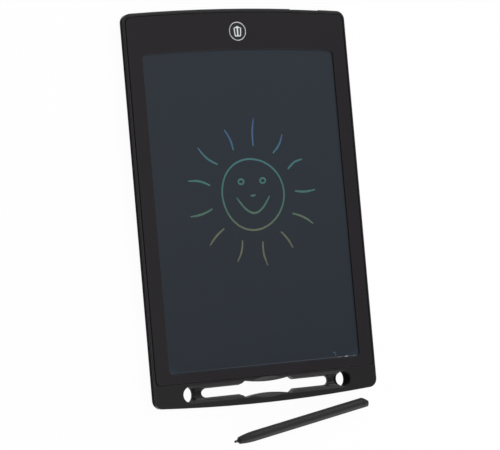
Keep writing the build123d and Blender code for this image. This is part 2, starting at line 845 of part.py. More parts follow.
# Switch that the lock slider works
lock_switch_height = board_level - lock_switch_level
with BuildPart() as lock_switch_body:
    with BuildSketch(Plane.XY.offset(lock_switch_level)):
        with Locations((lock_centre_x, lock_y)):
            Rectangle(lock_switch_length, lock_switch_width)
    extrude(amount=lock_switch_height)
    with BuildSketch(Plane.XY.offset(lock_switch_level)):
        with Locations((lock_centre_x, lock_y)):
            Rectangle(lock_nib_length + lock_travel + 2 * lock_nib_gap,
                      lock_nib_width + 2 * lock_nib_gap)
    extrude(amount=lock_switch_bore_depth, mode=Mode.SUBTRACT)

with BuildPart() as lock_switch_actuator:
    with BuildSketch(Plane.XY.offset(floor_thickness)):
        with Locations((lock_x, lock_y)):
            Rectangle(lock_nib_length, lock_nib_width)
    extrude(amount=lock_nib_height)

# Battery tray: end plate and the frame that carries the cell
with BuildPart() as battery_tray:
    with BuildSketch(Plane.XY.offset(tray_plate_low_level)):
        with Locations((tray_x, top_y)):
            Rectangle(tray_plate_length, cut_overrun)
        add(body_outline(tray_plate_set_back), mode=Mode.INTERSECT)
        add(body_outline(tray_plate_set_back + tray_plate_thickness), mode=Mode.SUBTRACT)
    extrude(amount=tray_plate_high_level - tray_plate_low_level)
    fillet(battery_tray.edges().filter_by(Axis.Z), radius=tray_plate_corner_radius)
    with BuildSketch(Plane.XY.offset(tray_body_level)):
        with Locations((tray_x, tray_body_inner_y)):
            Rectangle(tray_body_length, body_height, align=(Align.CENTER, Align.MIN))
        add(body_outline(tray_plate_set_back + tray_body_bury), mode=Mode.INTERSECT)
        with Locations((tray_x, cell_y)):
            Circle(cell_radius + cell_pocket_gap, mode=Mode.SUBTRACT)
    extrude(amount=tray_body_thickness)

# Coin cell, its wide cup upwards
with BuildPart() as coin_cell:
    with BuildSketch(Plane.XY.offset(cell_level)):
        with Locations((tray_x, cell_y)):
            Circle(cell_step_radius)
    extrude(amount=cell_step_height)
    with BuildSketch(Plane.XY.offset(cell_level + cell_step_height)):
        with Locations((tray_x, cell_y)):
            Circle(cell_radius)
    extrude(amount=cell_height - cell_step_height)
    chamfer(coin_cell.faces().sort_by(Axis.Z)[-1].edges(), length=cell_edge_chamfer)

# Contacts from the board to the cell
contact_foot_x = board_right_x - contact_foot_inset
contact_bend_x = board_right_x - contact_bend_inset
contact_arm_x = board_right_x + contact_arm_reach
contact_end_x = tray_x - contact_end_before_cell
contact_plane = Plane(origin=(0, cell_y + contact_width / 2, 0), x_dir=(1, 0, 0),
                      z_dir=(0, -1, 0))
with BuildPart() as positive_contact:
    with BuildSketch(contact_plane):
        add(bent_strip([(contact_foot_x, board_top_level), (contact_bend_x, board_top_level),
                        (contact_arm_x, cell_top_level), (contact_end_x, cell_top_level)],
                       contact_thickness))
    extrude(amount=contact_width)

with BuildPart() as negative_contact:
    fixed_level = board_level - contact_thickness
    arm_level = cell_level - contact_thickness
    with BuildSketch(contact_plane):
        add(bent_strip([(contact_foot_x, fixed_level), (contact_bend_x, fixed_level),
                        (contact_arm_x, arm_level), (contact_end_x, arm_level)],
                       contact_thickness))
    extrude(amount=contact_width)

# Stylus, drawn from the tip along its own axis
turn = math.radians(stylus_angle)
stylus_plane = Plane(origin=(stylus_tip_x, stylus_tip_y, stylus_radius),
                     x_dir=(math.cos(turn), math.sin(turn), 0), z_dir=(0, 0, 1))
stylus_axis = Axis(stylus_plane.origin, stylus_plane.x_dir)
with BuildPart() as stylus_nib:
    with BuildSketch(stylus_plane):
        with BuildLine():
            Polyline((0, 0), (0, nib_radius - nib_round), (nib_round, nib_radius),
                     (nib_end, nib_radius), (nib_end, collar_front_radius),
                     (collar_end, collar_back_radius),
                     (collar_end, nib_shank_radius), (nib_shank_end, nib_shank_radius),
                     (nib_shank_end, 0), (0, 0))
        make_face()
    revolve(axis=stylus_axis)

with BuildPart() as stylus_barrel:
    with BuildSketch(stylus_plane):
        front_bore = nib_shank_radius + barrel_bore_gap
        rear_bore = cap_plug_radius + barrel_bore_gap
        with BuildLine():
            Line((barrel_front, front_bore), (barrel_front, barrel_front_radius))
            TangentArc((barrel_cone_end, stylus_radius), (barrel_front, barrel_front_radius),
                       tangent=(-1, 0))
            Polyline((barrel_cone_end, stylus_radius),
                     (barrel_end - cap_joint_chamfer, stylus_radius),
                     (barrel_end, stylus_radius - cap_joint_chamfer), (barrel_end, rear_bore),
                     (cap_plug_start, rear_bore), (cap_plug_start, 0), (nib_shank_end, 0),
                     (nib_shank_end, front_bore), (barrel_front, front_bore))
        make_face()
    revolve(axis=stylus_axis)

with BuildPart() as stylus_end_cap:
    with BuildSketch(stylus_plane):
        with BuildLine():
            Polyline((cap_plug_start, 0), (cap_plug_start, cap_plug_radius),
                     (barrel_end, cap_plug_radius),
                     (barrel_end, stylus_radius - cap_joint_chamfer),
                     (barrel_end + cap_joint_chamfer, stylus_radius),
                     (stylus_length - cap_shoulder_length, stylus_radius),
                     (stylus_length - cap_end_length, cap_shoulder_radius),
                     (stylus_length, cap_end_radius), (stylus_length, 0), (cap_plug_start, 0),
                     close=True)
        make_face()
    revolve(axis=stylus_axis)

# Labels and files
pieces = {
    "rear_shell": rear_shell,
    "front_bezel": front_bezel,
    "bezel_tape": bezel_tape,
    "writing_film": writing_film,
    "liquid_crystal_layer": liquid_crystal_layer,
    "base_film": base_film,
    "colour_film": colour_film,
    "film_tape": film_tape,
    "backing_plate": backing_plate,
    "foam_pad": foam_pad,
    "erase_ring": erase_ring,
    "erase_button": erase_button,
    "erase_switch_body": erase_switch_body,
    "erase_switch_plunger": erase_switch_plunger,
    "circuit_board": circuit_board,
    "board_screws": board_screws,
    "controller_chip": controller_chip,
    "boost_coil": boost_coil,
    "chip_capacitors": chip_capacitors,
    "film_connector": film_connector,
    "film_tail": film_tail,
    "lock_slider": lock_slider,
    "lock_switch_body": lock_switch_body,
    "lock_switch_actuator": lock_switch_actuator,
    "battery_tray": battery_tray,
    "coin_cell": coin_cell,
    "positive_contact": positive_contact,
    "negative_contact": negative_contact,
    "stylus_barrel": stylus_barrel,
    "stylus_nib": stylus_nib,
    "stylus_end_cap": stylus_end_cap,
}
for name, piece in pieces.items():
    piece.part.label = name
    export_step(piece.part, f"parts/{name}.step")
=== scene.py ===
import math
import bpy
from mathutils import Euler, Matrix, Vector


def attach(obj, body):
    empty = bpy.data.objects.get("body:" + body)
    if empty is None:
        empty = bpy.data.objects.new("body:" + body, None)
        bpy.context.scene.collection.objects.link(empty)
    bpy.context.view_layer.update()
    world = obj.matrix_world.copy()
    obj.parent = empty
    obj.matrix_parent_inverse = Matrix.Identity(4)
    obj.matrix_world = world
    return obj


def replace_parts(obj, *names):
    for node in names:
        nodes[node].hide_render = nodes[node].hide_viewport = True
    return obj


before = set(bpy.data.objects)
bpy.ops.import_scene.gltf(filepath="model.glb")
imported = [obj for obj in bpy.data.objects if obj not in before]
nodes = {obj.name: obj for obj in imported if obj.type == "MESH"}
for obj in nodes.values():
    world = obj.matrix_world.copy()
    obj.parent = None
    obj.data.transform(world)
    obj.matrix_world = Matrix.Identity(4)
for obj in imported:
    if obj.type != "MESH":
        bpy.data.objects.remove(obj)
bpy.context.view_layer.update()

mm = 0.001


# One socket, with the maths that the materials use
class Sock:
    def __init__(self, mat, socket):
        self.mat = mat
        self.socket = socket

    def maths(self, operation, *values):
        return self.mat.node("ShaderNodeMath", {"operation": operation}, dict(enumerate(values)))[0]

    def __add__(self, other):
        return self.maths("ADD", self, other)

    def __radd__(self, other):
        return self.maths("ADD", other, self)

    def __sub__(self, other):
        return self.maths("SUBTRACT", self, other)

    def __rsub__(self, other):
        return self.maths("SUBTRACT", other, self)

    def __mul__(self, other):
        return self.maths("MULTIPLY", self, other)

    def __rmul__(self, other):
        return self.maths("MULTIPLY", other, self)

    def __truediv__(self, other):
        return self.maths("DIVIDE", self, other)

    def __abs__(self):
        return self.maths("ABSOLUTE", self)

    def power(self, other):
        return self.maths("POWER", self, other)

    def clamped(self):
        return self.mat.node("ShaderNodeClamp", {}, {"Value": self})[0]


# The nodes of one material, or of the world
class Finish:
    def __init__(self, name, kind="Material"):
        self.data = bpy.data.worlds.new(name) if kind == "World" else bpy.data.materials.new(name)
        self.data.use_nodes = True
        self.tree = self.data.node_tree
        self.tree.nodes.clear()
        self.output = self.tree.nodes.new("ShaderNodeOutput" + kind)

    # Any node: its type, its settings first, then the values or links of its sockets
    def node(self, kind, settings=None, sockets=None):
        made = self.tree.nodes.new(kind)
        for key, value in (settings or {}).items():
            if key == "stops":
                ramp = made.color_ramp
                while len(ramp.elements) < len(value):
                    ramp.elements.new(0.5)
                for stop, (place, colour) in zip(ramp.elements, value):
                    stop.position = place
                    stop.color = (*colour, 1)
            else:
                setattr(made, key, value)
        for key, value in (sockets or {}).items():
            if isinstance(value, Sock):
                self.tree.links.new(value.socket, made.inputs[key])
            else:
                made.inputs[key].default_value = value
        return [Sock(self, out) for out in made.outputs]

    def place(self):
        return self.node("ShaderNodeTexCoord")[3]    # object coordinates

    def axes(self, vector):
        return self.node("ShaderNodeSeparateXYZ", {}, {"Vector": vector})

    def ramp(self, stops, factor):
        return self.node("ShaderNodeValToRGB", {"stops": stops}, {"Fac": factor})[0]

    def noise(self, vector, scale, detail=2.0, rough=0.5):
        return self.node("ShaderNodeTexNoise", {},
                         {"Vector": vector, "Scale": scale, "Detail": detail, "Roughness": rough})[0]

    def mix(self, factor, first, second):
        first, second = (value if isinstance(value, Sock) else (*value, 1) for value in (first, second))
        return self.node("ShaderNodeMix", {"data_type": "RGBA"}, {0: factor, 6: first, 7: second})[2]

    def mixShader(self, factor, first, second):
        return self.node("ShaderNodeMixShader", {}, {0: factor, 1: first, 2: second})[0]

    def bump(self, height, strength, distance, normal=None):
        sockets = {"Height": height, "Strength": strength, "Distance": distance}
        if normal is not None:
            sockets["Normal"] = normal
        return self.node("ShaderNodeBump", {}, sockets)[0]

    def shader(self, **sockets):
        names = {"colour": "Base Color", "rough": "Roughness", "metal": "Metallic", "normal": "Normal",
                 "shine": "Specular IOR Level"}
        return self.node("ShaderNodeBsdfPrincipled", {},
                         {names[key]: (*value, 1) if isinstance(value, tuple) else value
                          for key, value in sockets.items()})[0]

    def close(self, shader):
        self.tree.links.new(shader.socket, self.output.inputs["Surface"])
        return self.data

    def surface(self, **sockets):
        return self.close(self.shader(**sockets))


# A colour as it shows on a screen, 0 to 255, made linear
def tone(red, green, blue):
    return tuple((c / 255 / 12.92) if c <= 10 else ((c / 255 + 0.055) / 1.055) ** 2.4
                 for c in (red, green, blue))


def dress(names, material):
    for name in names:
        data = nodes[name].data
        data.materials.clear()
        data.materials.append(material)
        for face in data.polygons:
            face.material_index = 0


# Where the shell is duller (deep, wall, hole, slot), with a painted highlight along its outer edge (brink)
# and painted highlight streaks in the cradle
shellMarks = {
    "deepLevel": 4.6 * mm, "deepSpan": 0.5 * mm, "deepTone": tone(25, 23, 25), "deepShine": 0.01,
    "wallFrom": 70.4 * mm, "holeX": 49.36 * mm, "holeY": -103.67 * mm, "holeReach": 4.8 * mm,
    "slotSide": 0.5 * mm, "slotLift": 0.6,
    # brink: a painted highlight on the front's outer edge at the top and right
    "brinkX": 70.5 * mm, "brinkY": 110.9 * mm, "brinkSpan": 1.2 * mm, "brinkLevel": 5.0 * mm,
    "archBend": 0.4695, "brinkHighlightTone": tone(47, 49, 51),
    # painted highlight streaks along the two short stretches of the cradle
    "streakRows": ((-2.85 * mm, 1.0), (2.3 * mm, 0.45)), "streakHalf": 0.7 * mm, "streakX": 42.9 * mm,
    "streakLong": 2.6 * mm, "streakHighlightTone": tone(84, 84, 87),
}


# The shell's colour with its painted highlights, and how dull it is at each place
def markedShell(finish, place, colour, marks):
    across, along, level = finish.axes(place)
    span = marks["deepSpan"]
    far = abs(across)
    low = ((marks["deepLevel"] - level) / span + 1).clamped()
    wall = ((far - marks["wallFrom"]) / span).clamped()
    offX, offY = far - marks["holeX"], along - marks["holeY"]
    apart = (offX * offX + offY * offY).power(0.5)
    # the left hole's side towards the slot catches more light
    inner = ((across + (marks["holeX"] - marks["slotSide"])) / span).clamped()
    left = (0 - across / span).clamped()
    hole = ((marks["holeReach"] - apart) / span).clamped() * (1 - inner * left * marks["slotLift"])
    dull = (wall + hole).clamped() * low
    # painted highlight: the front's outer edge, a little lighter at the top and the right side, where it
    # would catch the light
    arched = along + across * across * marks["archBend"]
    beside = ((far - marks["brinkX"]) / marks["brinkSpan"]).clamped()
    above = ((arched - marks["brinkY"]) / marks["brinkSpan"]).clamped()
    brink = (beside + above).clamped() * ((level - marks["brinkLevel"]) / span).clamped()
    colour = finish.mix(brink, colour, marks["brinkHighlightTone"])
    # painted highlight: lighter streaks along the two short stretches of the cradle, where its curved
    # walls catch the light
    streaks = sum((1 - abs(offY - side) / marks["streakHalf"]).clamped() * weight
                  for side, weight in marks["streakRows"])
    paintedStreakHighlight = streaks * ((marks["streakLong"] - abs(far - marks["streakX"])) / span).clamped() * low
    return finish.mix(paintedStreakHighlight, colour, marks["streakHighlightTone"]), dull


# What all the moulded plastics share
mouldLook = {"cloudDetail": 3.0, "cloudSheen": 0.05, "grainDetail": 2.0, "grainRough": 0.6,
             "edgeSamples": 8}


# Moulded plastic: soft cloudiness, fine grain, a little change of sheen, and edges as a mould leaves them
def mouldedPlastic(name, look, marks=None):
    finish = Finish(name)
    place = finish.place()
    cloud = finish.noise(place, look["cloudScale"], mouldLook["cloudDetail"])
    grain = finish.noise(place, look["grainScale"], mouldLook["grainDetail"], mouldLook["grainRough"])
    colour = finish.mix(cloud, look["dark"], look["light"])
    rough = look["rough"] + (grain - 0.5) * look["roughSpread"] + (cloud - 0.5) * mouldLook["cloudSheen"]
    edge = finish.node("ShaderNodeBevel", {"samples": mouldLook["edgeSamples"]},
                       {"Radius": look["edgeRound"]})[0]
    normal = finish.bump(grain, look["grainStrength"], look["grainDepth"], edge)
    if marks is None:
        return finish.surface(colour=colour, rough=rough, normal=normal, shine=look["shine"])
    colour, dull = markedShell(finish, place, colour, marks)
    face = finish.shader(colour=colour, rough=rough, normal=normal, shine=look["shine"])
    deep = finish.shader(colour=marks["deepTone"], rough=rough, normal=normal, shine=marks["deepShine"])
    return finish.close(finish.mixShader(dull, face, deep))


shellLook = {"dark": tone(21, 19, 21), "light": tone(25, 23, 25), "cloudScale": 60.0,
             "grainScale": 3200.0, "grainStrength": 0.3, "grainDepth": 0.04 * mm, "edgeRound": 0.3 * mm,
             "rough": 0.4, "roughSpread": 0.14, "shine": 0.18}
panelLook = {"dark": tone(22, 19, 22), "light": tone(26, 23, 26), "cloudScale": 40.0,
             "grainScale": 2600.0, "grainStrength": 0.3, "grainDepth": 0.04 * mm, "edgeRound": 0.15 * mm,
             "rough": 0.42, "roughSpread": 0.14, "shine": 0.17}
keyLook = {"dark": tone(24, 24, 26), "light": tone(29, 29, 31), "cloudScale": 200.0,
           "grainScale": 4200.0, "grainStrength": 0.2, "grainDepth": 0.03 * mm, "edgeRound": 0.15 * mm,
           "rough": 0.4, "roughSpread": 0.1, "shine": 0.25}
stylusLook = {"dark": tone(25, 25, 26), "light": tone(32, 32, 33), "cloudScale": 90.0,
              "grainScale": 2800.0, "grainStrength": 0.35, "grainDepth": 0.05 * mm, "edgeRound": 0.25 * mm,
              "rough": 0.52, "roughSpread": 0.14, "shine": 0.23}
whiteLook = {"dark": tone(204, 207, 210), "light": tone(220, 222, 225), "cloudScale": 300.0,
             "grainScale": 4000.0, "grainStrength": 0.1, "grainDepth": 0.02 * mm, "edgeRound": 0.08 * mm,
             "rough": 0.35, "roughSpread": 0.08, "shine": 0.4}
nibLook = {"dark": tone(26, 26, 27), "light": tone(34, 34, 35), "cloudScale": 300.0,
           "grainScale": 5000.0, "grainStrength": 0.2, "grainDepth": 0.03 * mm, "edgeRound": 0.12 * mm,
           "rough": 0.45, "roughSpread": 0.1, "shine": 0.35}

dress(["rear_shell", "battery_tray"], mouldedPlastic("shellPlastic", shellLook, shellMarks))
dress(["front_bezel"], mouldedPlastic("panelPlastic", panelLook))
dress(["erase_button", "lock_slider"], mouldedPlastic("keyPlastic", keyLook))
stylusPlastic = mouldedPlastic("stylusPlastic", stylusLook)
dress(["stylus_barrel"], stylusPlastic)
dress(["stylus_nib"], mouldedPlastic("nibPlastic", nibLook))
print("moulded parts done")


# Dark screen seen through its matt writing film
screenLook = {
    "low": tone(33, 39, 46), "middle": tone(37, 43, 50), "high": tone(39, 45, 52), "middleAt": 0.45,
    "halfWidth": 61.4 * mm, "highY": 87.0 * mm, "lowY": -91.8 * mm,
    "hazeScale": 55.0, "hazeDetail": 3.0, "hazeShare": 0.25, "hazeSheen": 0.06,
    "leakTone": tone(40, 58, 76), "leakWide": 9.0 * mm, "leakTall": 7.0 * mm,
    "edgeY": -90.95 * mm, "edgeHalf": 0.4 * mm, "edgeTone": tone(96, 97, 104),
    "edgeLeast": 0.15, "edgeRise": 0.4,
    "sparkTone": tone(190, 190, 194), "sparkX": 53.0 * mm, "sparkHalf": 9.0 * mm,
    "sparkScale": 420.0, "sparkSharp": 5.0,
    "grainScale": 3600.0, "grainStrength": 0.15, "grainDepth": 0.02 * mm, "grainSheen": 0.1,
    "fineDetail": 1.0, "rough": 0.4, "shine": 0.13,
}


def screenFinish(look):
    finish = Finish("writingFilm")
    place = finish.place()
    across, along = finish.axes(place)[:2]
    height = ((along - look["lowY"]) / (look["highY"] - look["lowY"])).clamped()
    stops = [(0.0, look["low"]), (look["middleAt"], look["middle"]), (1.0, look["high"])]
    base = finish.ramp(stops, height)
    haze = finish.noise(place, look["hazeScale"], look["hazeDetail"])
    hazed = finish.mix(haze * look["hazeShare"], base, look["high"])
    # faint light leak in the two low corners
    side = 1 - ((look["halfWidth"] - abs(across)) / look["leakWide"]).clamped()
    foot = 1 - ((along - look["lowY"]) / look["leakTall"]).clamped()
    leaked = finish.mix((side * side * foot * foot).clamped(), hazed, look["leakTone"])
    # light caught along the low edge of the film, with a few bright specks near one end
    line = (1 - abs(along - look["edgeY"]) / look["edgeHalf"]).clamped()
    share = ((across + look["halfWidth"]) / (2 * look["halfWidth"])).clamped()
    lined = finish.mix(line * (look["edgeLeast"] + share * look["edgeRise"]), leaked, look["edgeTone"])
    specks = ((finish.noise(place, look["sparkScale"], look["fineDetail"]) - 0.5)
              * look["sparkSharp"]).clamped()
    spark = line * specks * (1 - abs(across - look["sparkX"]) / look["sparkHalf"]).clamped()
    colour = finish.mix(spark, lined, look["sparkTone"])
    grain = finish.noise(place, look["grainScale"], look["fineDetail"])
    rough = look["rough"] + (grain - 0.5) * look["grainSheen"] + (haze - 0.5) * look["hazeSheen"]
    normal = finish.bump(grain, look["grainStrength"], look["grainDepth"])
    return finish.surface(colour=colour, rough=rough, normal=normal, shine=look["shine"])


dress(["writing_film"], screenFinish(screenLook))
print("screen done")


# Pieces inside the housing, first what their finishes share
plainLook = {"cloudDetail": 3.0, "speckTimes": 9, "speckStrength": 0.2, "speckDepth": 0.04 * mm,
             "speckSheen": 0.15}


def plainFinish(name, dark, light, scale, rough, metal):
    finish = Finish(name)
    place = finish.place()
    cloud = finish.noise(place, scale, plainLook["cloudDetail"])
    speck = finish.noise(place, scale * plainLook["speckTimes"])
    normal = finish.bump(speck, plainLook["speckStrength"], plainLook["speckDepth"])
    return finish.surface(colour=finish.mix(cloud, dark, light), normal=normal, metal=metal,
                          rough=rough + (speck - 0.5) * plainLook["speckSheen"])


# Each finish: its pieces, its darkest and lightest tone, the scale of its pattern, roughness and metal
innerLooks = {
    "tape": (["bezel_tape", "film_tape"], tone(38, 38, 38), tone(48, 48, 47), 400, 0.7, 0.0),
    "crystalLayer": (["liquid_crystal_layer"], tone(40, 50, 60), tone(46, 58, 70), 90, 0.3, 0.0),
    "conductiveFilm": (["base_film", "film_tail"], tone(120, 82, 30), tone(150, 104, 44), 300, 0.3, 0.0),
    "backing": (["backing_plate"], tone(58, 58, 60), tone(70, 70, 72), 80, 0.5, 0.0),
    "foam": (["foam_pad"], tone(62, 62, 64), tone(84, 84, 86), 700, 0.9, 0.0),
    "boardLaminate": (["circuit_board"], tone(18, 92, 52), tone(26, 112, 64), 260, 0.35, 0.0),
    "switchPlastic": (["erase_switch_body", "film_connector", "lock_switch_actuator"],
                      tone(34, 34, 34), tone(48, 48, 48), 900, 0.5, 0.0),
    "plungerPlastic": (["erase_switch_plunger"], tone(190, 188, 180), tone(210, 208, 200), 900, 0.5, 0.0),
    "chipPlastic": (["controller_chip", "boost_coil"], tone(24, 24, 25), tone(36, 36, 38), 900, 0.55, 0.0),
    "capacitorCeramic": (["chip_capacitors"], tone(150, 112, 78), tone(172, 134, 96), 900, 0.5, 0.0),
    "platedSteel": (["board_screws", "lock_switch_body", "coin_cell"],
                    tone(176, 178, 180), tone(206, 207, 208), 500, 0.3, 1.0),
    "contactBrass": (["positive_contact", "negative_contact"],
                     tone(198, 164, 92), tone(222, 190, 120), 500, 0.3, 1.0),
}
for name, (members, *look) in innerLooks.items():
    dress(members, plainFinish(name, *look))

# Colour bands of the sheet behind the films
bandLook = {
    "lowY": -92.0 * mm, "long": 184.0 * mm,
    "stops": [(0.0, tone(92, 84, 40)), (0.35, tone(60, 92, 60)), (0.65, tone(40, 92, 96)),
              (1.0, tone(40, 72, 112))],
    "cloudScale": 300.0, "cloudShare": 0.3, "cloudTone": tone(30, 32, 36), "rough": 0.5,
}


def bandFinish(look):
    finish = Finish("colourSheet")
    place = finish.place()
    along = finish.axes(place)[1]
    bands = finish.ramp(look["stops"], ((along - look["lowY"]) / look["long"]).clamped())
    cloud = finish.noise(place, look["cloudScale"])
    return finish.surface(colour=finish.mix(cloud * look["cloudShare"], bands, look["cloudTone"]),
                          rough=look["rough"])


dress(["colour_film"], bandFinish(bandLook))
print("inner parts done")


# Helpers for the modelled pieces
def clearPick():
    bpy.ops.object.select_all(action="DESELECT")


def only(piece):
    clearPick()
    piece.select_set(True)
    bpy.context.view_layer.objects.active = piece


def joined(pieces):
    only(pieces[0])
    for piece in pieces:
        piece.select_set(True)
    bpy.ops.object.join()
    return bpy.context.object


# Edit mode with all of the mesh picked, and back again with its faces turned outwards
def editAll():
    bpy.ops.object.mode_set(mode="EDIT")
    bpy.ops.mesh.select_all(action="SELECT")


def leaveEdit():
    bpy.ops.mesh.select_all(action="SELECT")
    bpy.ops.mesh.normals_make_consistent(inside=False)
    bpy.ops.object.mode_set(mode="OBJECT")


def raiseFaces(way):
    bpy.ops.mesh.extrude_region_move(TRANSFORM_OT_translate={"value": [part * mm for part in way]})


def bevelEdges(piece, width, steps, sharper=None):
    edge = piece.modifiers.new("edge", "BEVEL")
    edge.width = width * mm
    edge.segments = steps
    edge.limit_method = "ANGLE"
    if sharper is not None:
        edge.angle_limit = math.radians(sharper)
    bpy.ops.object.modifier_apply(modifier=edge.name)


def settle(piece, name, body, material):
    only(piece)
    piece.name = name
    piece.data.name = name
    bpy.ops.object.transform_apply(location=True, rotation=True, scale=True)
    piece.data.materials.clear()
    piece.data.materials.append(material)
    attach(piece, body)
    return piece


# The drawing on the screen: a plain smiling sun in thin coloured lines, with its measures in mm,
# its first ray's angle in degrees and the turns of an eye's points in radians
drawingLook = {
    "level": 5.0, "thick": 0.03, "lineRadius": 0.58, "centre": (1.0, 6.0),
    "curveOrder": 4, "curveSteps": 6, "roundSteps": 2,
    "faceRadius": 20.4, "faceTall": 1.02, "faceSteps": 16, "faceWobble": 0.02, "faceWaves": 3,
    "faceWidths": (1.0, 0.9),
    "rayCount": 13, "rayStart": 27.5, "rayEnd": 41.5, "firstRay": 84.0,
    "rayShares": (0.0, 0.25, 0.5, 0.75, 1.0), "rayWidths": (0.75, 1.05, 1.1, 1.0, 0.6),
    "rayLengths": (1.15, 0.9, 0.8, 0.95, 1.05, 0.85, 1.0, 0.9, 0.95, 1.05, 1.0, 1.1, 0.9),
    "rayBows": (0.8, -1.2, 1.4, -0.9, 1.1, 0.7, -1.3, 1.2, -0.8, 1.0, -1.4, 1.6, -1.0),
    "eyeAcross": 7.0, "eyeUp": 7.4, "eyeWide": 2.1, "eyeTall": 0.8, "eyeWidth": 0.9,
    "eyeTurns": (0, 1.05, 2.1, 3.15, 4.2, 5.25),
    "noseUp": -0.6, "nose": ((-1.5, 0.0), (-0.7, -0.3), (0.0, -0.35), (0.8, -0.2), (1.6, 0.2)),
    "noseWidths": (0.7, 1, 1, 1, 0.7),
    "mouthAcross": 10.6, "mouthUp": -1.6, "mouthDrop": 9.6,
    "mouthShares": (-1.0, -0.72, -0.36, 0.0, 0.36, 0.72, 1.0),
    "mouthWidths": (0.7, 1, 1.1, 1.1, 1.1, 1, 0.7),
    "strayMark": ((44.1, -88.2), (45.0, -88.0), (45.8, -88.4), (45.9, -89.3), (45.7, -90.2)),
    "strayWidths": (0.5, 0.7, 0.8, 0.8, 0.5),
}


# One drawn line: a round path through its points, made a mesh
def drawnLine(look, points, widths, closed=False):
    clearPick()
    bpy.ops.curve.primitive_nurbs_path_add(radius=mm)
    line = bpy.context.object
    spline = line.data.splines[0]
    while len(spline.points) < len(points):
        spline.points.add(1)
    for spot, (across, along), width in zip(spline.points, points, widths):
        spot.co = (across * mm, along * mm, look["level"] * mm, 1)
        spot.radius = width
    spline.order_u = look["curveOrder"]
    spline.use_endpoint_u = not closed
    spline.use_cyclic_u = closed
    spline.resolution_u = look["curveSteps"]
    line.data.dimensions = "3D"
    line.data.bevel_depth = look["lineRadius"] * mm
    line.data.bevel_resolution = look["roundSteps"]
    line.data.use_fill_caps = True
    bpy.ops.object.convert(target="MESH")
    return bpy.context.object


def faceRing(look):
    midX, midY = look["centre"]
    ring = []
    for step in range(look["faceSteps"]):
        angle = 2 * math.pi * step / look["faceSteps"]
        radius = look["faceRadius"] * (1 + look["faceWobble"] * math.sin(look["faceWaves"] * angle + 1))
        ring.append((midX + radius * math.cos(angle), midY + radius * look["faceTall"] * math.sin(angle)))
    return ring


def sunRay(look, number):
    midX, midY = look["centre"]
    angle = math.radians(look["firstRay"] - number * 360 / look["rayCount"])
    reach = look["rayStart"] + (look["rayEnd"] - look["rayStart"]) * look["rayLengths"][number]
    points = []
    for share in look["rayShares"]:
        out = look["rayStart"] + (reach - look["rayStart"]) * share
        side = look["rayBows"][number] * math.sin(math.pi * share)
        points.append((midX + out * math.cos(angle) - side * math.sin(angle),
                       midY + out * math.sin(angle) + side * math.cos(angle)))
    return points


def sunDrawing(look):
    midX, midY = look["centre"]
    ringWidths = look["faceWidths"] * (look["faceSteps"] // 2)
    lines = [drawnLine(look, faceRing(look), ringWidths, closed=True)]
    for number in range(look["rayCount"]):
        lines.append(drawnLine(look, sunRay(look, number), look["rayWidths"]))
    for side in (-1, 1):
        eyeX, eyeY = midX + side * look["eyeAcross"], midY + look["eyeUp"]
        wide, tall = look["eyeWide"], look["eyeWide"] * look["eyeTall"]
        eye = [(eyeX + wide * math.cos(turn), eyeY + tall * math.sin(turn)) for turn in look["eyeTurns"]]
        lines.append(drawnLine(look, eye, [look["eyeWidth"]] * len(eye), closed=True))
    nose = [(midX + across, midY + look["noseUp"] + up) for across, up in look["nose"]]
    lines.append(drawnLine(look, nose, look["noseWidths"]))
    mouth = [(midX + share * look["mouthAcross"],
              midY + look["mouthUp"] - look["mouthDrop"] * (1 - share * share))
             for share in look["mouthShares"]]
    lines.append(drawnLine(look, mouth, look["mouthWidths"]))
    lines.append(drawnLine(look, look["strayMark"], look["strayWidths"]))
    drawing = joined(lines)
    # pressed flat on the film
    bpy.ops.object.transform_apply(location=True, rotation=True, scale=True)
    editAll()
    flat = look["thick"] / (2 * look["lineRadius"])
    bpy.ops.transform.resize(value=(1, 1, flat), center_override=(0, 0, look["level"] * mm))
    leaveEdit()
    bpy.ops.object.shade_smooth()
    return drawing


# Line colour follows colour bands of its own, which start again in the low corner of the sheet
lineLook = {
    "lowY": -40.0 * mm, "long": 90.0 * mm,
    "stops": [(0.0, tone(98, 98, 76)), (0.27, tone(102, 106, 78)), (0.42, tone(66, 110, 92)),
              (0.6, tone(56, 116, 110)), (0.76, tone(56, 114, 120)), (0.86, tone(56, 96, 138)),
              (1.0, tone(54, 88, 134))],
    "againY": -70.0 * mm, "againSpan": 1.0 * mm, "againTone": tone(44, 66, 86),
    "speckleScale": 900.0, "speckleDetail": 3.0, "speckleRough": 0.6, "speckleShare": 0.7,
    "speckleTone": tone(52, 62, 68), "rough": 0.4, "speckleSheen": 0.1, "shine": 0.25,
}


def lineFinish(look):
    finish = Finish("screenLine")
    place = finish.place()
    along = finish.axes(place)[1]
    bands = finish.ramp(look["stops"], ((along - look["lowY"]) / look["long"]).clamped())
    again = ((look["againY"] - along) / look["againSpan"]).clamped()
    banded = finish.mix(again, bands, look["againTone"])
    speckle = finish.noise(place, look["speckleScale"], look["speckleDetail"], look["speckleRough"])
    colour = finish.mix((speckle * look["speckleShare"]).clamped(), banded, look["speckleTone"])
    return finish.surface(colour=colour, rough=look["rough"] + speckle * look["speckleSheen"],
                          shine=look["shine"])


settle(sunDrawing(drawingLook), "screen_drawing", "tablet", lineFinish(lineLook))
print("drawing done")

# Thin white ring round the erase key, with a rounded edge
ringLook = {"x": -0.1, "y": 99.46, "inner": 4.98, "outer": 5.4, "low": 4.92, "high": 5.88, "steps": 96,
            "round": 0.16, "roundSteps": 3, "smoothBelow": 40}


